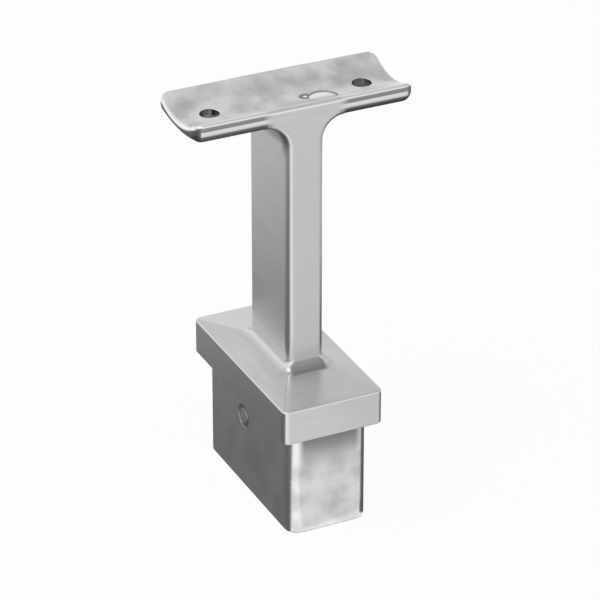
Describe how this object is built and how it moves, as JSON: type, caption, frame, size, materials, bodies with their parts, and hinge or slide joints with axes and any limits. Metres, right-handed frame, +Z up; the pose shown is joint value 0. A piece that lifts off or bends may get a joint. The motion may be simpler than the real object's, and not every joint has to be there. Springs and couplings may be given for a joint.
{
  "type": "handrail bracket",
  "caption": "Cast stainless bracket that plugs into a rectangular post, with a shouldered cap, a flat stem and a troughed saddle for a round handrail tube.",
  "frame": {"origin": "centre of the cap's underside, the shoulder that seats on the post's end", "axes": "+Z up along the post and stem, X along the handrail, Y along the wide side of the post"},
  "size_m": [0.0644, 0.06, 0.1224],
  "materials": {
    "satin_stainless": "investment-cast stainless steel, brushed satin on stem, cap and saddle edges, left as cast and blasted in the trough and on the plug"
  },
  "bodies": {
    "root": {"handrail_bracket": "satin_stainless"}
  },
  "joints": []
}
